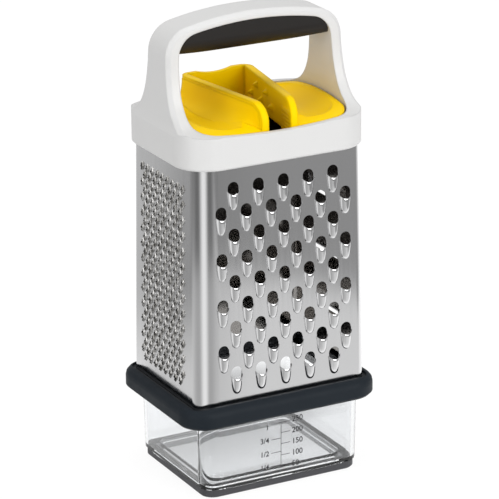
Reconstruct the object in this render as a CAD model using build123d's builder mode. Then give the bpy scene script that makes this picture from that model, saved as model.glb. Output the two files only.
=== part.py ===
from build123d import *
import math
import os

os.makedirs("parts", exist_ok=True)

# Box grater on a measuring container. Sizes are in mm.
# The origin is the middle of the foot's underside, +Z is up, and -Y is the coarse face.

# Container
container_half_w = 49.3
container_half_d = 41.0
container_corner_r = 9.0
container_flare = 0.7
container_wall = 2.4
container_rim_z = 49.4
container_base_chamfer = 0.9
ledge_thickness = 2.3
floor_step_inset = 8.0
floor_step_h = 1.7
floor_recess_depth = 1.8
floor_recess_inset = 1.3

# Container foot
foot_h = 4.6
foot_inset = 1.1
foot_band_w = 6.2
foot_chamfer = 0.8

# Tower of sheet steel; its half sizes are taken at the lower edge that shows
tower_half_w = 53.0
tower_half_d = 39.5
tower_corner_r = 4.5
tower_lean = 0.0153
sheet_t = 0.6
sheet_bottom_z = 51.2
sheet_top_z = 198.5
steel_fit_gap = 0.2
seam_from_corner = 11.0
seam_gap = 0.3
seam_lap = 5.0
rivet_r = 1.2
rivet_hole_gap = 0.05
rivet_head_r = 2.2
rivet_head_h = 0.7
rivet_first_z = 68.0
rivet_pitch = 52.0
rivet_count = 3
rivet_sides = 8

# Coarse teeth
coarse_pitch_x = 15.36
coarse_pitch_z = 13.24
coarse_top_z = 177.4
coarse_rows = 9
coarse_short_row = 5
coarse_shift_x = 2.6
coarse_hole_r = 3.3
coarse_hole_rise = 3.9
coarse_scoop_len = 11.4
coarse_scoop_half_w = 4.1
coarse_scoop_h = 2.6
coarse_lip_drop = 0.7
coarse_lip_lean = 2.8
coarse_arch_shares = ((1, 0), (0.62, 0.68), (0, 1), (-0.62, 0.68), (-1, 0))
coarse_hole_sides = 5
scoop_shares = ((0, 1), (0.6, 0.84), (0.88, 0.5), (1, 0.2))
hollow_shares = ((0, 1), (0.6, 0.8), (1, 0.1))

# Medium teeth
medium_pitch_x = 13.4
medium_pitch_z = 15.0
medium_top_z = 174.0
medium_rows = 7
medium_short_row = 5
medium_hole_r = 2.1
medium_hole_rise = 2.5
medium_scoop_len = 7.0
medium_scoop_half_w = 2.6
medium_scoop_h = 1.6
medium_lip_drop = 0.6
medium_lip_lean = 1.6
medium_arch_shares = ((1, 0), (0.45, 1), (-0.45, 1), (-1, 0))
medium_hole_sides = 4

# Fine teeth
fine_pitch_y = 3.05
fine_pitch_z = 8.9
fine_columns = 17
fine_column_holes = 13
fine_top_z = 176.5
fine_centre_y = 1.5
fine_hole_r = 1.15

# Slicing slots
slot_count = 3
slot_first_z = 84.0
slot_pitch = 34.0
slot_len = 44.0
slot_h = 4.0
blade_len_z = 11.0
blade_h = 2.2

# Base frame and bumper ring
ring_half_w = 60.5
ring_half_d = 47.0
ring_corner_r = 16.0
ring_bottom_z = 43.4
ring_top_z = 55.0
ring_wall = 3.3
ring_shoulder_r = 4.6
shoulder_shares = ((0, 0), (0.42, 0.1), (0.76, 0.38), (0.95, 0.75), (1, 1))
ring_under_chamfer = 1.7
ring_lip_gap = 2.4
frame_top_z = 53.65
frame_skirt_lift = 0.5
sleeve_gap = 0.5
throat_half_w = 48.2
throat_half_d = 35.9
lip_wall = 1.8
lip_top_z = 57.0

# Handle housing
collar_half_w = 56.6
collar_half_d = 43.1
collar_corner_r = 20.0
collar_bottom_z = 190.3
collar_shoulder_z = 207.5
collar_chamfer = 0.8
post_foot_half_w = 55.2
post_foot_z = 214.5
post_hollow_share = 0.32
arch_top_z = 266.7
arch_end_half_w = 53.4
arch_crown_r = 191.0
arch_corner_r = 16.0
arch_chamfer = 2.2
flare_half_d = 12.6
flare_top_z = 242.0
flare_pull_half_d = 14.5
flare_pull_z = 220.0
flare_spread_half_d = 22.0
flare_spread_z = 209.5
flare_end_z = 208.6
arch_half_d_top = 11.6
window_half_w = 47.5
window_top_half_w = 46.3
window_shoulder_z = 226.0
window_sill_z = 207.3
window_sill_rise = 3.2
window_sill_corner_r = 7.0
arch_bar_t = 4.5
window_corner_r = 13.0

# Pocket for the food holder, and the ledge that it rests on
pocket_half_w = 47.4
pocket_half_d = 39.9
pocket_corner_r = 16.0
pocket_floor_z = 203.0
pocket_top_z = 224.0
ledge_bottom_z = 200.2
ledge_hole_half_w = 43.0
ledge_hole_half_d = 34.2
ledge_hole_r = 12.0
collar_fit_gap = 0.35

# Soft grip and the bar inside it
grip_fit_gap = 0.05
grip_belly_z = 245.7
grip_end_z = 247.9
grip_inset = 0.2
grip_bottom_r = 8.5
core_inset = 4.0
core_half_d = 7.0

# Storage tray and its screws
tray_wall = 1.6
tray_well_half_w = 46.1
tray_well_half_d = 34.5
tray_well_r = 14.0
tray_bottom_z = 188.2
tray_flange_gap = 0.15
screw_x = 46.6
screw_y = 33.0
screw_r = 1.1
screw_hole_gap = 0.05
screw_head_r = 2.0
screw_head_h = 1.7
screw_top_z = 206.5
screw_tip_gap = 0.5
screw_sides = 6

# Food holder
holder_gap = 1.1
holder_front_gap = 0.6
holder_corner_r = 15.4
wing_top_z = 213.2
wing_crown_r = 145.0
dish_floor_z = 205.5
dish_border = 2.6
dish_slope_deg = 48.0
dish_corner_r = 9.0
dish_lift = 2.4
dish_r = 26.0
dish_x = 28.5
dish_under_wall = 1.5
channel_mid_half_w = 12.6
channel_flare = 0.15
channel_back_y = 35.3
holder_wall = 4.3
holder_back_wall = 3.2
holder_rim_z = 222.0
holder_front_r = 10.5
holder_back_corner_r = 6.0
rim_dip = 1.6
rim_dip_half_w = 11.0
relief_half_w = 30.0
relief_half_d = 30.0
relief_h = 2.6
tongue_len = 15.0
tongue_drop = 1.6
rib_count = 6
rib_pitch = 2.1
rib_first_z = 203.9
rib_h = 1.0
rib_out = 0.8
rib_len = 12.0
spike_base = 3.4
spike_h = 2.8
spike_taper_deg = 28.0
spike_lower_z = 209.9
spike_upper_z = 216.3
spike_pitch = 16.0
spike_first_y = 23.0

overrun = 1.0


# Half sizes of the leaning tower at a height
def lean_at(z):
    return tower_lean * (z - frame_top_z)


def tower_w(z):
    return tower_half_w - lean_at(z)


def tower_d(z):
    return tower_half_d - lean_at(z)


# A prism with rounded corners between two heights
def rounded_prism(half_w, half_d, corner_r, z_low, z_high, mode=Mode.ADD):
    with BuildSketch(Plane.XY.offset(z_low)) as outline:
        RectangleRounded(2 * half_w, 2 * half_d, corner_r)
    extrude(outline.sketch, amount=z_high - z_low, mode=mode)


# A leaning tower layer, set in from the outer face of the steel
def tower_layer(inset, z_low, z_high, mode=Mode.ADD):
    ends = []
    for z in (z_low, z_high):
        with BuildSketch(Plane.XY.offset(z)) as outline:
            RectangleRounded(
                2 * (tower_w(z) - inset), 2 * (tower_d(z) - inset), tower_corner_r - inset
            )
        ends.append(outline.sketch)
    loft(ends, ruled=True, mode=mode)


# Clear container
with BuildPart() as container:
    for z, flare in ((foot_h, 0), (container_rim_z, container_flare)):
        with BuildSketch(Plane.XY.offset(z)):
            RectangleRounded(
                2 * (container_half_w + flare), 2 * (container_half_d + flare), container_corner_r
            )
    loft(ruled=True)
    chamfer(container.faces().sort_by(Axis.Z)[0].edges(), length=container_base_chamfer)
    for z, flare in ((foot_h + ledge_thickness, 0), (container_rim_z, container_flare)):
        inset = container_wall - flare
        with BuildSketch(Plane.XY.offset(z)):
            RectangleRounded(
                2 * (container_half_w - inset),
                2 * (container_half_d - inset),
                container_corner_r - container_wall,
            )
    loft(ruled=True, mode=Mode.SUBTRACT)
    rounded_prism(
        container_half_w - floor_step_inset,
        container_half_d - floor_step_inset,
        container_corner_r - container_wall,
        foot_h + ledge_thickness,
        foot_h + ledge_thickness + floor_step_h,
    )
    rounded_prism(
        container_half_w - floor_step_inset - floor_recess_inset,
        container_half_d - floor_step_inset - floor_recess_inset,
        container_corner_r - container_wall - floor_recess_inset,
        foot_h,
        foot_h + floor_recess_depth,
        Mode.SUBTRACT,
    )
container.part.label = "container"

# Foot frame under the container
foot_half_w = container_half_w - foot_inset
foot_half_d = container_half_d - foot_inset
foot_corner_r = container_corner_r - foot_inset
with BuildPart() as container_foot:
    rounded_prism(foot_half_w, foot_half_d, foot_corner_r, 0, foot_h)
    chamfer(container_foot.faces().sort_by(Axis.Z)[0].edges(), length=foot_chamfer)
    rounded_prism(
        foot_half_w - foot_band_w,
        foot_half_d - foot_band_w,
        foot_corner_r - foot_band_w,
        0,
        foot_h,
        Mode.SUBTRACT,
    )
container_foot.part.label = "container_foot"

# Base frame: a sleeve over the container's rim, a throat and a groove for the steel
frame_half_w = ring_half_w - ring_wall
frame_half_d = ring_half_d - ring_wall
frame_corner_r = ring_corner_r - ring_wall
groove_half_w = tower_w(sheet_bottom_z) + steel_fit_gap
groove_half_d = tower_d(sheet_bottom_z) + steel_fit_gap
lip_half_w = tower_w(lip_top_z) - 2 * sheet_t - steel_fit_gap
lip_half_d = tower_d(lip_top_z) - 2 * sheet_t - steel_fit_gap
lip_corner_r = tower_corner_r - 2 * sheet_t - steel_fit_gap
with BuildPart() as base_frame:
    rounded_prism(
        frame_half_w, frame_half_d, frame_corner_r, ring_bottom_z + frame_skirt_lift, frame_top_z
    )
    rounded_prism(
        container_half_w + container_flare + sleeve_gap,
        container_half_d + container_flare + sleeve_gap,
        container_corner_r + sleeve_gap,
        ring_bottom_z,
        container_rim_z,
        Mode.SUBTRACT,
    )
    rounded_prism(
        groove_half_w,
        groove_half_d,
        tower_corner_r + steel_fit_gap,
        sheet_bottom_z,
        frame_top_z + overrun,
        Mode.SUBTRACT,
    )
    rounded_prism(lip_half_w, lip_half_d, lip_corner_r, sheet_bottom_z, lip_top_z)
    rounded_prism(
        lip_half_w - lip_wall,
        lip_half_d - lip_wall,
        lip_corner_r - lip_wall,
        sheet_bottom_z,
        lip_top_z + overrun,
        Mode.SUBTRACT,
    )
    rounded_prism(
        throat_half_w,
        throat_half_d,
        container_corner_r - container_wall,
        container_rim_z - overrun,
        lip_top_z + overrun,
        Mode.SUBTRACT,
    )
base_frame.part.label = "base_frame"

# Soft bumper ring round the frame
ring_mouth_half_w = tower_half_w + ring_lip_gap
ring_mouth_half_d = tower_half_d + ring_lip_gap
with BuildPart() as base_ring:
    ring_profile = [
        (ring_bottom_z, ring_under_chamfer),
        (ring_bottom_z + ring_under_chamfer, 0),
    ] + [
        (ring_top_z - ring_shoulder_r * (1 - rise), ring_shoulder_r * inset)
        for rise, inset in shoulder_shares
    ]
    for z, inset in ring_profile:
        with BuildSketch(Plane.XY.offset(z)):
            RectangleRounded(
                2 * (ring_half_w - inset), 2 * (ring_half_d - inset), ring_corner_r - inset
            )
    loft(ruled=True)
    rounded_prism(
        frame_half_w, frame_half_d, frame_corner_r, ring_bottom_z, frame_top_z, Mode.SUBTRACT
    )
    rounded_prism(
        ring_mouth_half_w,
        ring_mouth_half_d,
        tower_corner_r + ring_lip_gap,
        frame_top_z,
        ring_top_z + overrun,
        Mode.SUBTRACT,
    )
base_ring.part.label = "base_ring"


# Planes on the tower's four faces, local Y up the face and local Z outwards
front_plane = Plane(
    origin=(0, -tower_half_d, frame_top_z), x_dir=(1, 0, 0), z_dir=(0, -1, tower_lean)
)
back_plane = Plane(
    origin=(0, tower_half_d, frame_top_z), x_dir=(-1, 0, 0), z_dir=(0, 1, tower_lean)
)
left_plane = Plane(
    origin=(-tower_half_w, 0, frame_top_z), x_dir=(0, -1, 0), z_dir=(-1, 0, tower_lean)
)
right_plane = Plane(
    origin=(tower_half_w, 0, frame_top_z), x_dir=(0, 1, 0), z_dir=(1, 0, tower_lean)
)


# Flat face through points
def flat_face(points):
    return Face(Wire.make_polygon([Vector(*p) for p in points], close=True))


# Solid down a face through outlines that shrink by shares, each drawn upwards from a floor
def tapered_arch(half_w, height, length, arch_shares, length_shares, floor, lean):
    rings = []
    for along, scale in length_shares:
        y = -length * along
        ring = [(half_w * scale * x, y, height * scale * z) for x, z in arch_shares]
        ring.append((-half_w * scale, y, -floor))
        ring.append((half_w * scale, y, -floor))
        rings.append(ring)
    # The mouth's crest leans back, along the straight edges to the second ring
    (_, first_scale), (along, second_scale) = length_shares[:2]
    for k, (_, z) in enumerate(arch_shares):
        back = lean * z / (length * along + lean * z * (first_scale - second_scale))
        rings[0][k] = tuple(a + (b - a) * back for a, b in zip(rings[0][k], rings[1][k]))
    mouth = rings[0]
    foot = [mouth[0], *mouth[len(arch_shares) - 1 :]]
    faces = [flat_face(mouth[: len(arch_shares)]), flat_face(foot), flat_face(rings[-1])]
    for near, far in zip(rings, rings[1:]):
        for k in range(len(near)):
            j = (k + 1) % len(near)
            faces.append(flat_face([near[k], near[j], far[j], far[k]]))
    return Solid(Shell(faces))


# One raised scoop, and the cutter that hollows it and opens the hole above its lip
def tooth(half_w, height, length, arch_shares, hole_r, hole_rise, hole_sides, lip_drop, lean):
    raised = tapered_arch(half_w, height, length, arch_shares, scoop_shares, sheet_t / 2, lean)
    with BuildPart(mode=Mode.PRIVATE) as hollow:
        add(
            tapered_arch(
                half_w - sheet_t,
                height - sheet_t,
                length - 2 * sheet_t,
                arch_shares,
                hollow_shares,
                sheet_t + overrun,
                0,
            )
        )
        turns = [math.pi * k / hole_sides for k in range(hole_sides + 1)]
        with BuildSketch(Plane.XY.offset(-sheet_t - overrun)) as hole:
            with BuildLine() as edge:
                Polyline(
                    (-hole_r, 0),
                    (hole_r, 0),
                    *[
                        (
                            hole_r * math.cos(a),
                            lip_drop + hole_rise - hole_r + hole_r * math.sin(a),
                        )
                        for a in turns
                    ],
                    close=True,
                )
            make_face(edge.edges())
        extrude(hole.sketch, amount=sheet_t + 2 * overrun)
    lowered = Pos(0, -lip_drop, 0)
    return lowered * raised, lowered * hollow.part


# Places of staggered rows on a face, rows counted down from the top one
def staggered(pitch_x, pitch_z, top_z, rows, short_row, shift_x):
    places = []
    for row in range(rows):
        count = short_row + row % 2
        for k in range(count):
            x = (k - (count - 1) / 2) * pitch_x + shift_x
            places.append((x, top_z - row * pitch_z - frame_top_z))
    return places


coarse_raised, coarse_hollow = tooth(
    coarse_scoop_half_w,
    coarse_scoop_h,
    coarse_scoop_len,
    coarse_arch_shares,
    coarse_hole_r,
    coarse_hole_rise,
    coarse_hole_sides,
    coarse_lip_drop,
    coarse_lip_lean,
)
medium_raised, medium_hollow = tooth(
    medium_scoop_half_w,
    medium_scoop_h,
    medium_scoop_len,
    medium_arch_shares,
    medium_hole_r,
    medium_hole_rise,
    medium_hole_sides,
    medium_lip_drop,
    medium_lip_lean,
)
coarse_places = staggered(
    coarse_pitch_x, coarse_pitch_z, coarse_top_z, coarse_rows, coarse_short_row, coarse_shift_x
)
medium_places = staggered(
    medium_pitch_x, medium_pitch_z, medium_top_z, medium_rows, medium_short_row, 0
)
fine_places = [
    (
        (column - (fine_columns - 1) / 2) * fine_pitch_y - fine_centre_y,
        fine_top_z - frame_top_z - (hole + column % 2 / 2) * fine_pitch_z,
    )
    for column in range(fine_columns)
    for hole in range(fine_column_holes)
]

# Seam lines on the right and back walls
seam_y = -tower_half_d + seam_from_corner
seam_x = -tower_half_w + seam_from_corner
tower_h = sheet_top_z - sheet_bottom_z
rivet_zs = [rivet_first_z + k * rivet_pitch - frame_top_z for k in range(rivet_count)]
right_rivets = [(seam_y - seam_lap / 2, z) for z in rivet_zs]
back_rivets = [(-(seam_x - seam_lap / 2), z) for z in rivet_zs]


# Holes for the rivets of both seams
def rivet_holes():
    for plane, places in ((right_plane, right_rivets), (back_plane, back_rivets)):
        with BuildSketch(plane.offset(-3 * sheet_t)) as holes:
            with Locations(*places):
                RegularPolygon(rivet_r + rivet_hole_gap, rivet_sides)
        extrude(holes.sketch, amount=4 * sheet_t, mode=Mode.SUBTRACT)


# Sheet with the coarse and the fine face, turned round the right and back corners
with BuildPart() as front_left_sheet:
    tower_layer(0, sheet_bottom_z, sheet_top_z)
    tower_layer(sheet_t, sheet_bottom_z, sheet_top_z, Mode.SUBTRACT)
    with BuildSketch(Plane.XY.offset(sheet_bottom_z)):
        with Locations((seam_x, seam_y)):
            Rectangle(
                2 * tower_half_w, 2 * tower_half_d, align=(Align.MIN, Align.MIN)
            )
    extrude(amount=tower_h, mode=Mode.SUBTRACT)
    rivet_holes()
    with Locations(*[front_plane.location * Pos(x, y, 0) for x, y in coarse_places]):
        add(coarse_raised)
    with Locations(*[front_plane.location * Pos(x, y, 0) for x, y in coarse_places]):
        add(coarse_hollow, mode=Mode.SUBTRACT)
    with BuildSketch(left_plane.offset(-sheet_t - overrun)):
        with Locations(*fine_places):
            RegularPolygon(fine_hole_r, 3, rotation=90)
    extrude(amount=sheet_t + 2 * overrun, mode=Mode.SUBTRACT)
front_left_sheet.part.label = "front_left_sheet"

# Sheet with the medium and the slicing face, and the laps behind both seams
with BuildPart() as back_right_sheet:
    tower_layer(0, sheet_bottom_z, sheet_top_z)
    tower_layer(sheet_t, sheet_bottom_z, sheet_top_z, Mode.SUBTRACT)
    with BuildSketch(Plane.XY.offset(sheet_bottom_z)):
        with Locations((seam_x + seam_gap, seam_y + seam_gap)):
            Rectangle(
                2 * tower_half_w, 2 * tower_half_d, align=(Align.MIN, Align.MIN)
            )
    extrude(amount=tower_h, mode=Mode.INTERSECT)
    with Locations(*[back_plane.location * Pos(x, y, 0) for x, y in medium_places]):
        add(medium_raised)
    with Locations(*[back_plane.location * Pos(x, y, 0) for x, y in medium_places]):
        add(medium_hollow, mode=Mode.SUBTRACT)
    for k in range(slot_count):
        slot_y = slot_first_z + k * slot_pitch - frame_top_z
        lip_y = slot_y - slot_h / 2
        with BuildSketch(right_plane.offset(-sheet_t - overrun)):
            with Locations((0, slot_y)):
                Rectangle(slot_len, slot_h)
        extrude(amount=sheet_t + 2 * overrun, mode=Mode.SUBTRACT)
        blade_plane = Plane(
            origin=right_plane.from_local_coords(Vector(-slot_len / 2, lip_y, 0)),
            x_dir=right_plane.z_dir,
            z_dir=right_plane.x_dir,
        )
        with BuildSketch(blade_plane):
            with BuildLine():
                Polyline(
                    (-sheet_t, 0), (blade_h, 0), (0, -blade_len_z), (-sheet_t, -blade_len_z),
                    close=True,
                )
            make_face()
        extrude(amount=slot_len)
        with BuildSketch(blade_plane.offset(sheet_t)):
            with BuildLine():
                Polyline(
                    (-sheet_t - overrun, overrun),
                    (blade_h - sheet_t - overrun * blade_h / blade_len_z, overrun),
                    (-sheet_t, -blade_len_z + sheet_t),
                    (-sheet_t - overrun, -blade_len_z + sheet_t),
                    close=True,
                )
            make_face()
        extrude(amount=slot_len - 2 * sheet_t, mode=Mode.SUBTRACT)

with BuildPart() as seam_laps:
    tower_layer(sheet_t, sheet_bottom_z, sheet_top_z)
    tower_layer(2 * sheet_t, sheet_bottom_z, sheet_top_z, Mode.SUBTRACT)
    with BuildSketch(Plane.XY.offset(sheet_bottom_z)):
        with Locations((tower_half_w, seam_y), (seam_x, tower_half_d)):
            Rectangle(2 * seam_lap, 2 * seam_lap)
    extrude(amount=tower_h, mode=Mode.INTERSECT)

with BuildPart() as back_right:
    add(back_right_sheet.part)
    add(seam_laps.part)
    rivet_holes()
back_right.part.label = "back_right_sheet"

# Rivets of both seams
with BuildPart() as seam_rivets:
    for plane, places in ((right_plane, right_rivets), (back_plane, back_rivets)):
        with BuildSketch(plane.offset(-2 * sheet_t - rivet_head_h)):
            with Locations(*places):
                RegularPolygon(rivet_r, rivet_sides)
        extrude(amount=2 * sheet_t + 2 * rivet_head_h)
        for base in (0, -2 * sheet_t - rivet_head_h):
            with BuildSketch(plane.offset(base)):
                with Locations(*places):
                    RegularPolygon(rivet_head_r, rivet_sides)
            extrude(amount=rivet_head_h)
seam_rivets.part.label = "seam_rivets"

# Handle housing: front outline, side outline and plan of the collar, crossed
crown_drop = arch_crown_r - (arch_crown_r**2 - arch_end_half_w**2) ** 0.5
window_top_z = arch_top_z - arch_bar_t
window_drop = arch_crown_r - (arch_crown_r**2 - window_top_half_w**2) ** 0.5


# Closed outline of the window under the arch, set in by a gap
def window_outline(gap):
    top_w = window_top_half_w - gap
    top_z = window_top_z - gap
    with BuildLine() as edge:
        Line((-window_half_w + gap, window_shoulder_z), (-top_w, top_z - window_drop))
        ThreePointArc((-top_w, top_z - window_drop), (0, top_z), (top_w, top_z - window_drop))
        Line((top_w, top_z - window_drop), (window_half_w - gap, window_shoulder_z))
        Line(
            (window_half_w - gap, window_shoulder_z),
            (window_half_w - gap, window_sill_z + window_sill_rise),
        )
        ThreePointArc(
            (window_half_w - gap, window_sill_z + window_sill_rise),
            (0, window_sill_z),
            (-window_half_w + gap, window_sill_z + window_sill_rise),
        )
        Line(
            (-window_half_w + gap, window_sill_z + window_sill_rise),
            (-window_half_w + gap, window_shoulder_z),
        )
    make_face(edge.edges())


with BuildPart() as handle_housing:
    with BuildSketch(Plane.XZ) as front_outline:
        with BuildLine():
            for side in (-1, 1):
                Line(
                    (side * arch_end_half_w, arch_top_z - crown_drop),
                    (side * post_foot_half_w, post_foot_z),
                )
                ThreePointArc(
                    (side * post_foot_half_w, post_foot_z),
                    (
                        side
                        * (
                            post_foot_half_w
                            + (collar_half_w - post_foot_half_w) * post_hollow_share
                        ),
                        (post_foot_z + collar_shoulder_z) / 2,
                    ),
                    (side * collar_half_w, collar_shoulder_z),
                )
                Line(
                    (side * collar_half_w, collar_shoulder_z),
                    (side * collar_half_w, collar_bottom_z),
                )
            Line((-collar_half_w, collar_bottom_z), (collar_half_w, collar_bottom_z))
            ThreePointArc(
                (arch_end_half_w, arch_top_z - crown_drop),
                (0, arch_top_z),
                (-arch_end_half_w, arch_top_z - crown_drop),
            )
        make_face()
        fillet(front_outline.vertices().group_by(Axis.Y)[-1], radius=arch_corner_r)
    extrude(amount=collar_half_d, both=True)
    with BuildSketch(Plane.YZ):
        with BuildLine():
            for side in (-1, 1):
                Line((side * arch_half_d_top, arch_top_z), (side * flare_half_d, flare_top_z))
                Bezier(
                    (side * flare_half_d, flare_top_z),
                    (side * flare_pull_half_d, flare_pull_z),
                    (side * flare_spread_half_d, flare_spread_z),
                    (side * collar_half_d, flare_end_z),
                )
                Line((side * collar_half_d, flare_end_z), (side * collar_half_d, collar_bottom_z))
            Line((-collar_half_d, collar_bottom_z), (collar_half_d, collar_bottom_z))
            Line((-arch_half_d_top, arch_top_z), (arch_half_d_top, arch_top_z))
        make_face()
    extrude(amount=collar_half_w, both=True, mode=Mode.INTERSECT)
    arch_edges = handle_housing.edges().filter_by(
        lambda e: e.center().Z > flare_end_z + overrun and abs(e.center().Y) > overrun
    )
    chamfer(arch_edges, length=arch_chamfer)
    rounded_prism(
        collar_half_w,
        collar_half_d,
        collar_corner_r,
        collar_bottom_z,
        arch_top_z,
        Mode.INTERSECT,
    )
    chamfer(handle_housing.faces().sort_by(Axis.Z)[0].edges(), length=collar_chamfer)
    with BuildSketch(Plane.XZ) as window:
        window_outline(0)
        fillet(window.vertices().group_by(Axis.Y)[-1], radius=window_corner_r)
        fillet(
            window.vertices().filter_by(
                lambda v: abs(v.Y - window_sill_z - window_sill_rise) < overrun / 2
            ),
            radius=window_sill_corner_r,
        )
    extrude(amount=collar_half_d + overrun, both=True, mode=Mode.SUBTRACT)
    rounded_prism(
        pocket_half_w, pocket_half_d, pocket_corner_r, pocket_floor_z, pocket_top_z, Mode.SUBTRACT
    )
    rounded_prism(
        ledge_hole_half_w,
        ledge_hole_half_d,
        ledge_hole_r,
        ledge_bottom_z - overrun,
        pocket_floor_z,
        Mode.SUBTRACT,
    )
    rounded_prism(
        tower_w(collar_bottom_z) + collar_fit_gap,
        tower_d(collar_bottom_z) + collar_fit_gap,
        tower_corner_r + collar_fit_gap,
        collar_bottom_z,
        ledge_bottom_z,
        Mode.SUBTRACT,
    )
    with BuildSketch(Plane.XY.offset(ledge_bottom_z)):
        with GridLocations(2 * screw_x, 2 * screw_y, 2, 2):
            RegularPolygon(screw_r + screw_hole_gap, screw_sides)
    extrude(amount=screw_top_z + screw_tip_gap - ledge_bottom_z, mode=Mode.SUBTRACT)
handle_housing.part.label = "handle_housing"

# Soft grip and its bar, both shaped by the window's crown
grip_half_d = arch_half_d_top - grip_inset
core_half_w = window_top_half_w - 3 * core_inset
core_low_z = grip_belly_z + core_inset

with BuildPart() as grip_core:
    with BuildSketch(Plane.XZ):
        window_outline(grip_fit_gap)
    extrude(amount=core_half_d, both=True)
    with BuildSketch(Plane.XZ):
        with Locations((0, core_low_z)):
            Rectangle(2 * core_half_w, arch_top_z - core_low_z, align=(Align.CENTER, Align.MIN))
    extrude(amount=core_half_d, both=True, mode=Mode.INTERSECT)
grip_core.part.label = "grip_core"

with BuildPart() as soft_grip:
    with BuildSketch(Plane.XZ) as grip_front:
        window_outline(grip_fit_gap)
        fillet(
            grip_front.vertices().group_by(Axis.Y)[-1], radius=window_corner_r - grip_fit_gap
        )
    extrude(amount=grip_half_d, both=True)
    with BuildSketch(Plane.XZ):
        with BuildLine():
            Line((-window_half_w, grip_end_z), (-window_half_w, arch_top_z))
            Line((-window_half_w, arch_top_z), (window_half_w, arch_top_z))
            Line((window_half_w, arch_top_z), (window_half_w, grip_end_z))
            ThreePointArc(
                (window_half_w, grip_end_z), (0, grip_belly_z), (-window_half_w, grip_end_z)
            )
        make_face()
    extrude(amount=grip_half_d, both=True, mode=Mode.INTERSECT)
    with BuildSketch(Plane.YZ) as grip_side:
        with Locations((0, grip_belly_z)):
            Rectangle(
                2 * grip_half_d,
                arch_top_z - grip_belly_z,
                align=(Align.CENTER, Align.MIN),
            )
        fillet(grip_side.vertices().group_by(Axis.Y)[0], radius=grip_bottom_r)
    extrude(amount=window_half_w, both=True, mode=Mode.INTERSECT)
    with BuildSketch(Plane.XZ):
        with Locations((0, core_low_z - grip_fit_gap)):
            Rectangle(
                2 * (core_half_w + grip_fit_gap),
                arch_top_z - core_low_z,
                align=(Align.CENTER, Align.MIN),
            )
    extrude(amount=core_half_d + grip_fit_gap, both=True, mode=Mode.SUBTRACT)
soft_grip.part.label = "soft_grip"

# Storage tray: a well inside the steel and a flange over its top edges
with BuildPart() as storage_tray:
    rounded_prism(
        tray_well_half_w, tray_well_half_d, tray_well_r, tray_bottom_z, sheet_top_z
    )
    rounded_prism(
        tower_w(collar_bottom_z) + collar_fit_gap - tray_flange_gap,
        tower_d(collar_bottom_z) + collar_fit_gap - tray_flange_gap,
        tower_corner_r + collar_fit_gap - tray_flange_gap,
        sheet_top_z,
        ledge_bottom_z,
    )
    rounded_prism(
        tray_well_half_w - tray_wall,
        tray_well_half_d - tray_wall,
        tray_well_r - tray_wall,
        tray_bottom_z + tray_wall,
        ledge_bottom_z,
        Mode.SUBTRACT,
    )
    with BuildSketch(Plane.XY.offset(sheet_top_z)):
        with GridLocations(2 * screw_x, 2 * screw_y, 2, 2):
            RegularPolygon(screw_r + screw_hole_gap, screw_sides)
    extrude(amount=ledge_bottom_z - sheet_top_z, mode=Mode.SUBTRACT)
storage_tray.part.label = "storage_tray"

with BuildPart() as tray_screws:
    with BuildSketch(Plane.XY.offset(sheet_top_z)):
        with GridLocations(2 * screw_x, 2 * screw_y, 2, 2):
            RegularPolygon(screw_r, screw_sides)
    extrude(amount=screw_top_z - sheet_top_z)
    with BuildSketch(Plane.XY.offset(sheet_top_z)):
        with GridLocations(2 * screw_x, 2 * screw_y, 2, 2):
            RegularPolygon(screw_head_r, screw_sides)
    extrude(amount=-screw_head_h)
tray_screws.part.label = "tray_screws"

# Food holder
holder_half_w = pocket_half_w - holder_gap
holder_half_d = pocket_half_d - holder_front_gap
holder_back_y = channel_back_y + holder_back_wall


# Half width of the channel at a depth, wider by a wall
def channel_w(y, wall):
    return channel_mid_half_w + channel_flare * y + wall


# Wedge that the channel and its walls follow in plan
def wedge(wall, front_y, back_y):
    with BuildLine() as edge:
        Polyline(
            (channel_w(front_y, wall), front_y),
            (channel_w(back_y, wall), back_y),
            (-channel_w(back_y, wall), back_y),
            (-channel_w(front_y, wall), front_y),
            close=True,
        )
    make_face(edge.edges())


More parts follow.
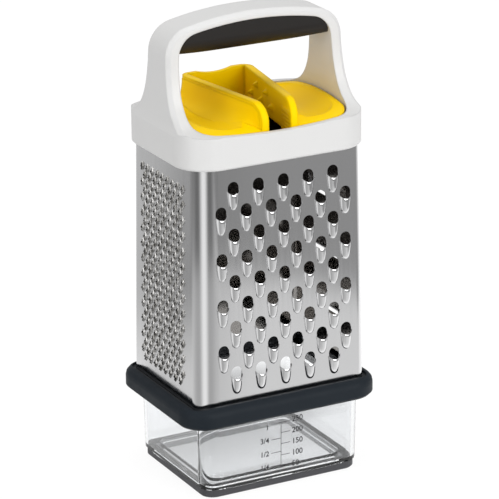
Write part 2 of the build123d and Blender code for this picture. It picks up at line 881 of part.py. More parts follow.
with BuildPart() as food_holder:
    rounded_prism(holder_half_w, holder_half_d, holder_corner_r, pocket_floor_z, holder_rim_z)
    with BuildSketch(Plane.YZ):
        with Locations((0, wing_top_z - wing_crown_r)):
            Circle(wing_crown_r)
    extrude(amount=holder_half_w, both=True, mode=Mode.INTERSECT)
    dish_slope_run = (wing_top_z - dish_floor_z) * math.tan(math.radians(dish_slope_deg))
    dish_front_y = -holder_half_d + dish_border + dish_slope_run
    dish_edge_x = holder_half_w - dish_border - dish_slope_run
    side_end = {1: -1, -1: 0}
    for side in (-1, 1):
        with BuildSketch(Plane.XY.offset(dish_floor_z), mode=Mode.PRIVATE) as dish:
            with BuildLine():
                Polyline(
                    (side * channel_w(dish_front_y, dish_under_wall), dish_front_y),
                    (side * dish_edge_x, dish_front_y),
                    (side * dish_edge_x, -dish_front_y),
                    (side * channel_w(-dish_front_y, dish_under_wall), -dish_front_y),
                    close=True,
                )
            make_face()
            fillet(dish.vertices().group_by(Axis.X)[side_end[side]], radius=dish_corner_r)
        with BuildPart(mode=Mode.PRIVATE) as dish_cutter:
            extrude(
                dish.sketch, amount=wing_top_z - dish_floor_z + overrun, taper=-dish_slope_deg
            )
            with BuildSketch(Plane.XZ):
                with Locations((side * dish_x, dish_floor_z + dish_lift + dish_r)):
                    Circle(dish_r)
            extrude(amount=holder_half_d, both=True, mode=Mode.INTERSECT)
        add(dish_cutter.part, mode=Mode.SUBTRACT)
    with BuildSketch(Plane.XY.offset(pocket_floor_z)) as walls:
        wedge(holder_wall, -holder_half_d, holder_back_y)
        fillet(walls.vertices().group_by(Axis.Y)[-1], radius=holder_back_corner_r)
    extrude(amount=holder_rim_z - pocket_floor_z)
    with BuildSketch(Plane.XY.offset(pocket_floor_z - tongue_drop)):
        wedge(holder_wall, -holder_half_d + holder_front_r / 2, -holder_half_d + tongue_len)
    extrude(amount=tongue_drop)
    with BuildSketch(Plane.YZ) as wall_side:
        with Locations((-holder_half_d, pocket_floor_z - tongue_drop)):
            Rectangle(
                2 * holder_half_d,
                holder_rim_z - pocket_floor_z + tongue_drop,
                align=(Align.MIN, Align.MIN),
            )
        front_top = wall_side.vertices().group_by(Axis.Y)[-1].sort_by(Axis.X)[0]
        fillet(front_top, radius=holder_front_r)
    extrude(amount=holder_half_w, both=True, mode=Mode.INTERSECT)
    with BuildSketch(Plane.XY.offset(pocket_floor_z - tongue_drop)):
        wedge(0, -holder_half_d - overrun, channel_back_y)
    extrude(amount=holder_rim_z - pocket_floor_z + 2 * tongue_drop, mode=Mode.SUBTRACT)
    with BuildSketch(Plane.XZ):
        with BuildLine():
            ThreePointArc(
                (-rim_dip_half_w, holder_rim_z),
                (0, holder_rim_z - rim_dip),
                (rim_dip_half_w, holder_rim_z),
            )
            Line((rim_dip_half_w, holder_rim_z), (-rim_dip_half_w, holder_rim_z))
        make_face()
    extrude(amount=-holder_half_d, mode=Mode.SUBTRACT)
    for side in (-1, 1):
        wall_plane = Plane(
            origin=(side * channel_mid_half_w, 0, 0),
            x_dir=(side * channel_flare, 1, 0),
            z_dir=(-side, channel_flare, 0),
        )
        rib_y = -holder_half_d + rib_len / 2 + overrun
        with BuildSketch(wall_plane):
            for k in range(rib_count):
                with Locations((rib_y, -side * (rib_first_z + k * rib_pitch))):
                    Rectangle(rib_len, rib_h)
        extrude(amount=rib_out)
        with BuildSketch(wall_plane):
            for k in range(3):
                with Locations((spike_first_y - k * spike_pitch, -side * spike_lower_z)):
                    Rectangle(spike_base, spike_base)
            for k in range(2):
                with Locations(
                    (spike_first_y - (k + 1 / 2) * spike_pitch, -side * spike_upper_z)
                ):
                    Rectangle(spike_base, spike_base)
        extrude(amount=spike_h, taper=spike_taper_deg)
food_holder.part.label = "food_holder"

for piece in (
    container,
    container_foot,
    base_frame,
    base_ring,
    front_left_sheet,
    back_right,
    seam_rivets,
    handle_housing,
    grip_core,
    soft_grip,
    storage_tray,
    tray_screws,
    food_holder,
):
    export_step(piece.part, f"parts/{piece.part.label}.step")
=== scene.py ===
import math

import bmesh
import bpy
from mathutils import Matrix, Vector
from mathutils.geometry import delaunay_2d_cdt


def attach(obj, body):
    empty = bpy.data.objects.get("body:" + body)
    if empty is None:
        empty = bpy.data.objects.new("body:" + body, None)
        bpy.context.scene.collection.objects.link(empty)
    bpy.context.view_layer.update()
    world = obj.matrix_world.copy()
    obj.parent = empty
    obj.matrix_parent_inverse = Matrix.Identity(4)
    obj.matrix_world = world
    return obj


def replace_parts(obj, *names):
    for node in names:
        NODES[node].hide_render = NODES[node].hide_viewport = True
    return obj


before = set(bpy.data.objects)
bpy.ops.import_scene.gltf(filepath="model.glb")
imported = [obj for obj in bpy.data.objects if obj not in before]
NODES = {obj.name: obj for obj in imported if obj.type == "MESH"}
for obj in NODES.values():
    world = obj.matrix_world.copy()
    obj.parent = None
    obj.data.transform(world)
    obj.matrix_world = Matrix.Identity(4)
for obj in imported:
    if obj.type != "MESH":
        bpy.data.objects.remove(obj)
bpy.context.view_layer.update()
MM = 0.001


# Tower of sheet steel: like all sizes below, in millimetres and as the solids have them
TOWER_HALF_W, TOWER_HALF_D, TOWER_LEAN, FRAME_TOP = 53.0, 39.5, 0.0153, 53.65
CORNER_R, SHEET_T, SHEET_LOW, SHEET_HIGH = 4.5, 0.6, 51.2, 198.5
SEAM_FROM_CORNER = 11.0
BEND = CORNER_R * math.pi / 2
BEND_STEPS = 8

# In the light the front left bend looks softer: its directions begin to turn this far out
SOFT_FRONT, SOFT_LEFT, SOFT_STEPS = 9.5, 1.5, 5

# Coarse teeth: their rows, the scoop and how far its mouth leans back, and the hole
COARSE_PITCH_X, COARSE_PITCH_Z, COARSE_TOP, COARSE_SHIFT = 15.36, 13.24, 177.4, 2.6
COARSE_ROWS, COARSE_SHORT_ROW = 9, 5
SCOOP_HALF_W, SCOOP_H, SCOOP_LEN, MOUTH_LEAN = 4.1, 2.6, 11.4, 2.8
SCOOP_TAPER, SCOOP_BLUNT = 0.36, 9
SCOOP_ACROSS, SCOOP_ALONG, SCOOP_CROWDING = 12, 9, 1.6
SCOOP_WALL, SCOOP_END_WALL, SCOOP_SUNK = 0.28, 0.4, 0.3
HOLE_R, HOLE_RISE, HOLE_STEPS, LIP_DROP = 3.3, 3.9, 12, 0.7
HOLE_SHARE_W, HOLE_SHARE_LEN = 0.8, 0.95

# Fine teeth: their columns, their outline, and each ring's share of it with its tip and notch heights
FINE_PITCH_Y, FINE_PITCH_Z, FINE_TOP, FINE_CENTRE_Y = 3.05, 8.9, 176.5, 1.5
FINE_COLUMNS, FINE_COLUMN_HOLES = 17, 13
FINE_HALF_W, FINE_HALF_H, FINE_NOTCH, FINE_HOLE = 1.55, 3.1, 0.75, 0.46
FINE_RIM = 2
FINE_RINGS = (
    (1.0, -0.05, -0.05),
    (0.76, 0.45, 0.3),
    (0.54, 1.25, 0.7),
    (FINE_HOLE, 0.4, 0.3),
    (FINE_HOLE, -0.6, -0.6),
)

# Food holder: its walls, dishes and crown, and the sweep from each wing up to its wall
CHANNEL_HALF_W, CHANNEL_FLARE, HOLDER_WALL = 12.6, 0.15, 4.3
HOLDER_RIM, HOLDER_FRONT_R, HOLDER_HALF_D = 222.0, 10.5, 39.3
DISH_X, DISH_R, DISH_LOW = 28.5, 26.0, 207.9
WING_TOP, WING_CROWN_R = 213.2, 145.0
SWEEP_FRONT, SWEEP_BACK, SWEEP_STEPS, SWEEP_ARC_STEPS = -37.0, 34.0, 28, 10
SWEEP_LEAST, SWEEP_WIDTH, SWEEP_RUN_IN, SWEEP_NARROWING = 0.3, 11.0, 18.0, 0.6
SWEEP_BELOW_RIM, SWEEP_SUNK = 1.3, 0.8

# Container's front wall and the scale printed on it: numbers with the heights they stand at
CONTAINER_HALF_D, CONTAINER_FLARE, CONTAINER_LOW, CONTAINER_RIM = 41.0, 0.7, 4.6, 49.4
INK, INK_GAP, LINE = 0.06, 0.005, 0.32
STEM_X, STEM_LOW, STEM_HIGH, TICKS_LEFT, TICKS_RIGHT = -1.9, 11.0, 37.9, -8.2, 3.8
LEVELS = (("50", 11.3), ("100", 18.0), ("150", 24.9), ("200", 31.6), ("250", 38.3))
PARTS = (("1/4", 12.1), ("1/2", 20.2), ("3/4", 28.3), ("1", 36.2))
LEVELS_X, LEVELS_SIZE, PARTS_X, PARTS_SIZE, BOLDER = 5.0, 4.6, -9.4, 4.4, 0.07

# Shade on the floor: the stretch under the container and the middle of the soft one behind it
SHADE_HALF_W, SHADE_HALF_D, SHADE_BEHIND_X, SHADE_BEHIND_Y = 42.5, 34.5, 45.0, 87.0

# The light strip on the front left corner is a painted reflection: it mirrors the floor along this
# bearing, in degrees
STRIP_BEARING = -152

# Camera, as fitted to the edges of the tower, ring and collar
AZIMUTH, ELEVATION, ROLL = math.radians(-27.86), math.radians(19.31), math.radians(-0.59)
AIM_HEIGHT, AIM_RIGHT, AIM_UP, DISTANCE = 135.0, 1.18, -8.02, 1713.99
FOCAL_PIXELS, PICTURE_PIXELS, SENSOR = 3079.24, 499, 36


def add_to_scene(name, data):
    obj = bpy.data.objects.new(name, data)
    bpy.context.scene.collection.objects.link(obj)
    return obj


def set_camera():
    back = Vector((
        math.sin(AZIMUTH) * math.cos(ELEVATION),
        -math.cos(AZIMUTH) * math.cos(ELEVATION),
        math.sin(ELEVATION),
    ))
    right = Vector((math.cos(AZIMUTH), math.sin(AZIMUTH), 0))
    up = back.cross(right)
    aim = Vector((0, 0, AIM_HEIGHT)) + AIM_RIGHT * right + AIM_UP * up
    rolled_right = right * math.cos(ROLL) + up * math.sin(ROLL)
    rolled_up = up * math.cos(ROLL) - right * math.sin(ROLL)
    data = bpy.data.cameras.new("camera")
    data.sensor_width = SENSOR
    data.lens = FOCAL_PIXELS / PICTURE_PIXELS * SENSOR
    data.clip_end = 50
    camera = add_to_scene("camera", data)
    turn = Matrix((rolled_right, rolled_up, back)).transposed()
    camera.matrix_world = Matrix.Translation((aim + DISTANCE * back) * MM) @ turn.to_4x4()
    bpy.context.scene.camera = camera


set_camera()
bpy.context.scene.view_settings.view_transform = "Standard"


# Shader nodes
def set_values(node, values):
    for socket, value in values.items():
        node.inputs[socket].default_value = value


def add_node(nt, kind, values):
    node = nt.nodes.new(kind)
    set_values(node, values)
    return node


def calc(nt, operation, a, b=None):
    """Output of one operation on one or two numbers or outputs"""
    node = nt.nodes.new("ShaderNodeMath")
    node.operation = operation
    for i, v in enumerate((a, b)):
        if isinstance(v, (int, float)):
            node.inputs[i].default_value = v
        elif v is not None:
            nt.links.new(v, node.inputs[i])
    return node.outputs[0]


def ramp(nt, value, low, high, at_low, at_high, shape="SMOOTHSTEP"):
    """From at_low to at_high as the value goes from low to high"""
    limits = {"From Min": low, "From Max": high, "To Min": at_low, "To Max": at_high}
    node = add_node(nt, "ShaderNodeMapRange", limits)
    node.interpolation_type = shape
    nt.links.new(value, node.inputs["Value"])
    return node.outputs["Result"]


def between(nt, first, second, share):
    """From the first to the second as the share goes from 0 to 1"""
    step = calc(nt, "SUBTRACT", second, first)
    return calc(nt, "ADD", first, calc(nt, "MULTIPLY", step, share))


def distance(nt, x, y):
    squares = [calc(nt, "MULTIPLY", v, v) for v in (x, y)]
    return calc(nt, "SQRT", calc(nt, "ADD", *squares))


def shaded_point(nt):
    return nt.nodes.new("ShaderNodeNewGeometry").outputs["Position"]


def split_axes(nt, vector):
    axes = nt.nodes.new("ShaderNodeSeparateXYZ")
    nt.links.new(vector, axes.inputs["Vector"])
    return list(axes.outputs)


def add_noise(nt, scale, stretch=(1, 1, 1), detail=4.0):
    coords = nt.nodes.new("ShaderNodeTexCoord")
    mapping = add_node(nt, "ShaderNodeMapping", {"Scale": stretch})
    noise = add_node(nt, "ShaderNodeTexNoise", {"Scale": scale, "Detail": detail, "Roughness": 0.55})
    nt.links.new(coords.outputs["Object"], mapping.inputs["Vector"])
    nt.links.new(mapping.outputs["Vector"], noise.inputs["Vector"])
    return noise.outputs["Fac"]


def vary(nt, noise, low, high, socket):
    """A socket that follows the noise from low to high"""
    nt.links.new(ramp(nt, noise, 0.3, 0.7, low, high, "LINEAR"), socket)


def add_bump(nt, shader, height, strength, depth, rounding=0.0):
    """Relief from a height, and edges that look rounded in the light"""
    bump = add_node(nt, "ShaderNodeBump", {"Strength": strength, "Distance": depth * MM})
    if rounding:
        bevel = add_node(nt, "ShaderNodeBevel", {"Radius": rounding * MM})
        bevel.samples = 6
        nt.links.new(bevel.outputs["Normal"], bump.inputs["Normal"])
    nt.links.new(height, bump.inputs["Height"])
    nt.links.new(bump.outputs["Normal"], shader.inputs["Normal"])


def blend_color(nt, factor, first, second, socket):
    mix = nt.nodes.new("ShaderNodeMix")
    mix.data_type = "RGBA"
    set_values(mix, {"A": (*first, 1), "B": (*second, 1)})
    nt.links.new(factor, mix.inputs["Factor"])
    nt.links.new(mix.outputs["Result"], socket)


def choose_shader(nt, factor, first, second):
    """The first shader where the factor is 0, the second where it is 1"""
    mix = nt.nodes.new("ShaderNodeMixShader")
    for i, output in enumerate((factor, first, second)):
        nt.links.new(output, mix.inputs[i])
    return mix.outputs[0]


def seen_directly(nt, path):
    """1 for what the camera sees, also through clear plastic"""
    return calc(nt, "MAXIMUM", path.outputs["Is Camera Ray"], path.outputs["Is Transmission Ray"])


# Materials
def new_material(name, values):
    material = bpy.data.materials.new(name)
    material.use_nodes = True
    nt = material.node_tree
    shader = nt.nodes["Principled BSDF"]
    set_values(shader, values)
    return material, nt, shader


def plastic(name, color, rough, patches, grain, depth, specular, rounding=0.0, tint=(1, 1, 1)):
    """Moulded plastic: roughness in soft patches, fine grain with its depth, rounded edges"""
    material, nt, shader = new_material(name, {
        "Base Color": (*color, 1),
        "Specular IOR Level": specular,
        "Specular Tint": (*tint, 1),
    })
    vary(nt, add_noise(nt, patches), *rough, shader.inputs["Roughness"])
    add_bump(nt, shader, add_noise(nt, grain, detail=2.0), 0.25, depth, rounding)
    return material


def brushed_steel():
    """Steel of the sheets, with painted shade on the side that faces into the tower"""
    material, nt, shader = new_material("brushed_steel", {"Metallic": 1.0})
    lines = add_noise(nt, 420, (1, 1, 0.02), 2.0)
    vary(nt, lines, 0.12, 0.17, shader.inputs["Roughness"])
    add_bump(nt, shader, lines, 0.05, 0.004)
    # Painted shade: a mask of the sheets' inner side, where the steel gets a darker, brownish colour
    x, y, z = split_axes(nt, shaded_point(nt))
    lean = calc(nt, "MULTIPLY", calc(nt, "SUBTRACT", z, FRAME_TOP * MM), TOWER_LEAN)
    past_flats = []
    for axis, half in ((x, TOWER_HALF_W), (y, TOWER_HALF_D)):
        out = calc(nt, "ADD", calc(nt, "ABSOLUTE", axis), lean)
        past = calc(nt, "SUBTRACT", out, (half - CORNER_R) * MM)
        past_flats.append(calc(nt, "MAXIMUM", past, 0.0))
    inside = calc(nt, "LESS_THAN", distance(nt, *past_flats), (CORNER_R - SHEET_T / 2) * MM)
    blend_color(nt, inside, (0.66, 0.66, 0.665), (0.30, 0.285, 0.27), shader.inputs["Base Color"])
    return material


def toothed_steel():
    """Steel of the fine teeth, with painted shade in blots for the small hollows between them"""
    material, nt, shader = new_material("toothed_steel", {"Metallic": 1.0})
    vary(nt, add_noise(nt, 700, detail=3.0), 0.16, 0.30, shader.inputs["Roughness"])
    # Painted shade: random noise blots darken the steel, standing in for the shade in the hollows between
    # the teeth
    painted_shade_blots = ramp(nt, add_noise(nt, 420, detail=1.0), 0.38, 0.62, 0.0, 1.0)
    blend_color(nt, painted_shade_blots, (0.22, 0.215, 0.205), (0.48, 0.475, 0.465), shader.inputs["Base Color"])
    return material


def screw_steel():
    material, nt, shader = new_material("screw_steel", {
        "Base Color": (0.7, 0.7, 0.71, 1),
        "Metallic": 1.0,
    })
    vary(nt, add_noise(nt, 800), 0.15, 0.25, shader.inputs["Roughness"])
    return material


def clear_plastic():
    material, nt, shader = new_material("clear_plastic", {
        "Base Color": (0.92, 0.93, 0.94, 1),
        "Transmission Weight": 1.0,
        "IOR": 1.49,
    })
    waves = add_noise(nt, 30, detail=1.0)
    vary(nt, waves, 0.02, 0.05, shader.inputs["Roughness"])
    add_bump(nt, shader, waves, 0.05, 0.2)
    return material


def print_grey():
    material, nt, shader = new_material("print_grey", {"Base Color": (0.03, 0.03, 0.033, 1)})
    vary(nt, add_noise(nt, 1500), 0.45, 0.6, shader.inputs["Roughness"])
    return material


# Plastics: colour, roughness, patches, grain and its depth, highlight, rounding, tint of the highlight
white = plastic("white_plastic", (0.69, 0.69, 0.685), (0.32, 0.42), 60, 900, 0.02, 0.45, 1.4)
yellow = plastic("yellow_plastic", (1.0, 0.66, 0.0), (0.34, 0.44), 70, 900, 0.02, 0.15, 2.4, (1, 0.8, 0.2))
soft = plastic("soft_charcoal", (0.009, 0.014, 0.020), (0.50, 0.62), 90, 1600, 0.04, 0.20, 1.8)
charcoal = plastic("foot_charcoal", (0.052, 0.052, 0.058), (0.42, 0.55), 90, 1200, 0.03, 0.4, 0.6)
rubber = plastic("grip_rubber", (0.014, 0.012, 0.011), (0.45, 0.6), 90, 1600, 0.04, 0.3, 0.8)
black = plastic("tray_plastic", (0.006, 0.006, 0.007), (0.45, 0.6), 90, 1200, 0.03, 0.3)
dark = plastic("frame_plastic", (0.015, 0.018, 0.022), (0.45, 0.6), 90, 1200, 0.03, 0.3)
grey = plastic("core_plastic", (0.4, 0.4, 0.4), (0.45, 0.6), 90, 1200, 0.03, 0.4)
steel = brushed_steel()
tooth_steel = toothed_steel()
ink = print_grey()

PAINT = {
    "container": clear_plastic(),
    "container_foot": charcoal,
    "base_frame": dark,
    "base_ring": soft,
    "front_left_sheet": steel,
    "back_right_sheet": steel,
    "seam_rivets": steel,
    "handle_housing": white,
    "grip_core": grey,
    "soft_grip": rubber,
    "storage_tray": black,
    "tray_screws": screw_steel(),
    "food_holder": yellow,
}
for node, material in PAINT.items():
    slots = NODES[node].material_slots
    if not slots:
        NODES[node].data.materials.append(material)
    for slot in slots:
        slot.material = material


# New pieces from plain data
def set_normals(mesh, wanted, same_way=0.6):
    """Smooth normals: the wanted direction where a face looks that way, else the face's own"""
    directions = []
    for face in mesh.polygons:
        face.use_smooth = True
        for v in face.vertices:
            turned = wanted[v].dot(face.normal)
            if abs(turned) > same_way:
                directions.append(tuple(wanted[v] * math.copysign(1, turned)))
            else:
                directions.append(tuple(face.normal))
    mesh.normals_split_custom_set(directions)


def add_piece(name, verts, faces, material, body, smooth=False, wanted=None):
    mesh = bpy.data.meshes.new(name)
    mesh.from_pydata([Vector(v) * MM for v in verts], [], faces)
    mesh.materials.append(material)
    bm = bmesh.new()
    bm.from_mesh(mesh)
    bmesh.ops.recalc_face_normals(bm, faces=bm.faces)
    for face in bm.faces:
        face.smooth = smooth
    bm.to_mesh(mesh)
    bm.free()
    if smooth:
        mesh.set_sharp_from_angle(angle=math.radians(50))
    if wanted:
        set_normals(mesh, wanted)
    obj = add_to_scene(name, mesh)
    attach(obj, body)
    return obj


# Places on the bent sheet: s runs round the wall from the middle of the front face, z is the height
def flats(z):
    """Half lengths of the flat stretches of the front and of the side at a height"""
    lean = TOWER_LEAN * (z - FRAME_TOP)
    return TOWER_HALF_W - lean - CORNER_R, TOWER_HALF_D - lean - CORNER_R


def wrap(s, z, out_by):
    """Point at s and z, out_by from the outer face, and the outward direction there"""
    half_w, half_d = flats(z)
    side, run = math.copysign(1, s), abs(s)
    x, y, turn = min(run, half_w), -half_d, 0.0
    run -= half_w
    if run > 0:
        turn = min(run, BEND) / CORNER_R
        run -= BEND
    if run > 0:
        y += min(run, 2 * half_d)
        run -= 2 * half_d
    if run > 0:
        turn += min(run, BEND) / CORNER_R
        run -= BEND
    if run > 0:
        x -= run
    out = Vector((side * math.sin(turn), -math.cos(turn), 0))
    return Vector((side * x, y, z)) + out * (CORNER_R + out_by), out


def light_direction(s, z, out):
    """Direction that the sheet shows to the light at s"""
    run = -s - flats(z)[0] + SOFT_FRONT
    reach = SOFT_FRONT + BEND + SOFT_LEFT
    if not 0 < run < reach:
        return out
    turn = run / reach * math.pi / 2
    return Vector((-math.sin(turn), -math.cos(turn), 0))


def on_left(y, z):
    """Place on the left face"""
    half_w, half_d = flats(z)
    return -(half_w + BEND + y + half_d)


def on_right(y, z):
    """Place on the right face"""
    return -on_left(y, z)


def on_back(x, z):
    """Place on the back face, reached round the left one"""
    half_w, half_d = flats(z)
    return -(2 * half_w + 2 * BEND + 2 * half_d + x)


def bend_places(z):
    """Places at a height where the sheet, or the light on it, turns"""
    half_w, half_d = flats(z)
    starts = (half_w, -half_w - BEND, -half_w - 2 * half_d - 2 * BEND)
    places = [start + BEND * k / BEND_STEPS for start in starts for k in range(BEND_STEPS + 1)]
    places += [SOFT_FRONT * (1 - k / SOFT_STEPS) - half_w for k in range(SOFT_STEPS)]
    places.append(-half_w - BEND - SOFT_LEFT)
    return places


def bent_sheet(name, outline, holes, bends):
    """A bent sheet, cut out of its flat outline round the holes"""
    flat, edges, rings = [], [], []
    for ring in [outline] + holes:
        n = len(flat)
        flat += [Vector(place) for place in ring]
        rings.append(list(range(n, n + len(ring))))
    for line in bends:
        n = len(flat)
        flat += [Vector(place) for place in line]
        edges += [(n + k, n + k + 1) for k in range(len(line) - 1)]
    flat, _, triangles, _, _, origin = delaunay_2d_cdt(flat, edges, rings, 1, 1e-4)
    triangles = [t for t, o in zip(triangles, origin) if list(o) == [0]]
    verts, wanted = [], []
    for out_by in (0.0, -SHEET_T):
        for s, z in flat:
            point, out = wrap(s, z, out_by)
            verts.append(point)
            wanted.append(light_direction(s, z, out))
    n = len(flat)
    sides = [side for t in triangles for side in zip(t, t[1:] + t[:1])]
    known = set(sides)
    faces = list(triangles) + [tuple(n + v for v in reversed(t)) for t in triangles]
    faces += [(a, n + a, n + b, b) for a, b in sides if (b, a) not in known]
    return add_piece(name, verts, faces, steel, "grater", wanted=wanted)


# Coarse teeth
def coarse_places():
    for row in range(COARSE_ROWS):
        count = COARSE_SHORT_ROW + row % 2
        for k in range(count):
            x = (k - (count - 1) / 2) * COARSE_PITCH_X + COARSE_SHIFT
            yield x, COARSE_TOP - row * COARSE_PITCH_Z


def scoop_arch():
    """Cross-section of the scoop, as shares of its half width and of its height"""
    radius = (SCOOP_HALF_W**2 + SCOOP_H**2) / (2 * SCOOP_H)
    sweep = math.asin(SCOOP_HALF_W / radius)
    arch = []
    for k in range(SCOOP_ACROSS + 1):
        a = sweep * (2 * k / SCOOP_ACROSS - 1)
        share_h = (radius * math.cos(a) - radius + SCOOP_H) / SCOOP_H
        arch.append((radius * math.sin(a) / SCOOP_HALF_W, share_h))
    return arch


def scoop_taper(u):
    """Share of the full section at u, from 0 at the mouth to 1 at the closed end"""
    return (1 - SCOOP_TAPER * u) * math.sqrt(max(0.0, 1 - u**SCOOP_BLUNT))


def coarse_hole(cx, cz):
    """Outline of the opening, from its round top down under the scoop"""
    ring = []
    for k in range(HOLE_STEPS + 1):
        a = math.pi * k / HOLE_STEPS
        ring.append((HOLE_R * math.cos(a), HOLE_RISE - HOLE_R + HOLE_R * math.sin(a)))
    side = []
    for u in (0.0, 0.3, 0.6, 0.8, 0.93):
        x = HOLE_SHARE_W * SCOOP_HALF_W * scoop_taper(u)
        side.append((x, -LIP_DROP - HOLE_SHARE_LEN * SCOOP_LEN * u))
    ring += [(-x, y) for x, y in side] + side[::-1]
    return [(cx + x, cz + y) for x, y in ring]


def scoop_grid(cx, cz, thinner, shorter, verts):
    """Points of the scoop's outer face, or of its hollow when it is thinner and shorter"""
    half_w, height, length = SCOOP_HALF_W - thinner, SCOOP_H - thinner, SCOOP_LEN - shorter
    grid = []
    for share_x, share_h in scoop_arch():
        mouth = 0.0
        for _ in range(6):
            mouth = MOUTH_LEAN / SCOOP_H * height * scoop_taper(mouth) * share_h / length
        column = []
        for k in range(SCOOP_ALONG + 1):
            u = mouth + (1 - mouth) * (1 - (1 - k / SCOOP_ALONG) ** SCOOP_CROWDING)
            size = scoop_taper(u)
            in_sheet = share_h < 0.01 or k == SCOOP_ALONG
            out_by = height * size * share_h - (SCOOP_SUNK if in_sheet else 0)
            column.append(len(verts))
            point, _ = wrap(cx + half_w * size * share_x, cz - LIP_DROP - length * u, out_by)
            verts.append(point)
        grid.append(column)
    return grid


def coarse_scoop(cx, cz, verts, faces):
    """Scoop with a mouth that leans back, a hollow inside and a rim inside the sheet"""
    outer = scoop_grid(cx, cz, 0.0, 0.0, verts)
    inner = scoop_grid(cx, cz, SCOOP_WALL, SCOOP_END_WALL, verts)
    for j in range(SCOOP_ACROSS):
        for k in range(SCOOP_ALONG):
            faces.append((outer[j][k], outer[j + 1][k], outer[j + 1][k + 1], outer[j][k + 1]))
            faces.append((inner[j][k], inner[j][k + 1], inner[j + 1][k + 1], inner[j + 1][k]))
        faces.append((outer[j][0], inner[j][0], inner[j + 1][0], outer[j + 1][0]))
    for j in (0, SCOOP_ACROSS):
        for k in range(SCOOP_ALONG):
            faces.append((outer[j][k], outer[j][k + 1], inner[j][k + 1], inner[j][k]))


# Fine teeth
FINE_PLACES = [
    (
        FINE_CENTRE_Y - (column - (FINE_COLUMNS - 1) / 2) * FINE_PITCH_Y,
        FINE_TOP - (hole + column % 2 / 2) * FINE_PITCH_Z,
    )
    for column in range(FINE_COLUMNS)
    for hole in range(FINE_COLUMN_HOLES)
]


def fine_ring(cy, cz, share):
    """Eight places round a fine tooth, tips and notches in turn"""
    places = []
    for k in range(8):
        a = math.pi * k / 4
        reach = share * (1 if k % 2 == 0 else FINE_NOTCH)
        z = cz + FINE_HALF_H * reach * math.sin(a)
        places.append((on_left(cy - FINE_HALF_W * reach * math.cos(a), z), z))
    return places


def uneven(number, k):
    """Share of its height that a tip has, different from tip to tip"""
    return 0.8 + 0.4 * (math.sin(7.3 * number + 2.9 * k) * 43.7 % 1)


def add_fine_teeth():
    verts, faces = [], []
    for number, (cy, cz) in enumerate(FINE_PLACES):
        first = len(verts)
        for ring, (share, tip, notch) in enumerate(FINE_RINGS):
            for k, (s, z) in enumerate(fine_ring(cy, cz, share)):
                height = tip if k % 2 == 0 else notch
                if ring == FINE_RIM:
                    height *= uneven(number, k)
                verts.append(wrap(s, z, height)[0])
        for ring in range(len(FINE_RINGS) - 1):
            for k in range(8):
                a, b = first + 8 * ring + k, first + 8 * ring + (k + 1) % 8
                faces.append((a, b, b + 8, a + 8))
    add_piece("fine_teeth", verts, faces, tooth_steel, "grater")


def add_front_left_sheet():
    seam_x, seam_y = SEAM_FROM_CORNER - TOWER_HALF_W, SEAM_FROM_CORNER - TOWER_HALF_D
    low, high = SHEET_LOW, SHEET_HIGH
    outline = [(on_back(seam_x, low), low), (on_right(seam_y, low), low)]
    outline += [(on_right(seam_y, high), high), (on_back(seam_x, high), high)]
    holes = [coarse_hole(cx, cz) for cx, cz in coarse_places()]
    holes += [fine_ring(cy, cz, FINE_HOLE) for cy, cz in FINE_PLACES]
    bends = [((s, low), (t, high)) for s, t in zip(bend_places(low), bend_places(high))]
    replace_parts(bent_sheet("front_left_skin", outline, holes, bends), "front_left_sheet")
    verts, faces = [], []
    for cx, cz in coarse_places():
        coarse_scoop(cx, cz, verts, faces)
    add_piece("coarse_scoops", verts, faces, steel, "grater", smooth=True)


# Smooth sweep of each wing of the food holder up to its wall
def eased(t):
    t = min(max(t, 0.0), 1.0)
    return t * t * (3 - 2 * t)


def sag(radius, off):
    """How far an arc has left its tangent at this distance from the touching point"""
    return radius - math.sqrt(radius**2 - off**2)


def sweep_section(y):
    wall_x = CHANNEL_HALF_W + CHANNEL_FLARE * y + HOLDER_WALL
    in_front = min(y + HOLDER_HALF_D - HOLDER_FRONT_R, 0)
    top = HOLDER_RIM - sag(HOLDER_FRONT_R, in_front) - SWEEP_BELOW_RIM
    run_in = eased((y - SWEEP_FRONT) / SWEEP_RUN_IN)
    wide = SWEEP_LEAST + SWEEP_WIDTH * run_in * (1 - SWEEP_NARROWING * eased(y / SWEEP_BACK))
    dish = DISH_LOW + sag(DISH_R, wall_x + wide - DISH_X)
    low = min(dish, WING_TOP - sag(WING_CROWN_R, y))
    points = []
    for k in range(SWEEP_ARC_STEPS + 1):
        a = math.pi / 2 * k / SWEEP_ARC_STEPS
        points.append((wall_x + wide * (1 - math.cos(a)), top - (top - low) * math.sin(a)))
    under = low - SWEEP_SUNK
    return points + [(wall_x + wide, under), (wall_x - SWEEP_SUNK, under), (wall_x - SWEEP_SUNK, top)]


def add_wing_sweeps():
    verts, faces = [], []
    for side in (-1, 1):
        first = len(verts)
        for step in range(SWEEP_STEPS + 1):
            y = SWEEP_FRONT + (SWEEP_BACK - SWEEP_FRONT) * step / SWEEP_STEPS
            section = sweep_section(y)
            verts += [(side * x, y, z) for x, z in section]
        n = len(section)
        for step in range(SWEEP_STEPS):
            for k in range(n):
                a, b = first + step * n + k, first + step * n + (k + 1) % n
                faces.append((a, b, b + n, a + n))
        faces.append(tuple(range(first, first + n)))
        faces.append(tuple(range(first + SWEEP_STEPS * n, first + (SWEEP_STEPS + 1) * n)))
    add_piece("wing_sweeps", verts, faces, yellow, "holder", smooth=True)


# Printed scale: a stem, ticks and plain numbers
WALL_LEAN = CONTAINER_FLARE / (CONTAINER_RIM - CONTAINER_LOW)


def wall_y(z):
    return -(CONTAINER_HALF_D + WALL_LEAN * (z - CONTAINER_LOW))


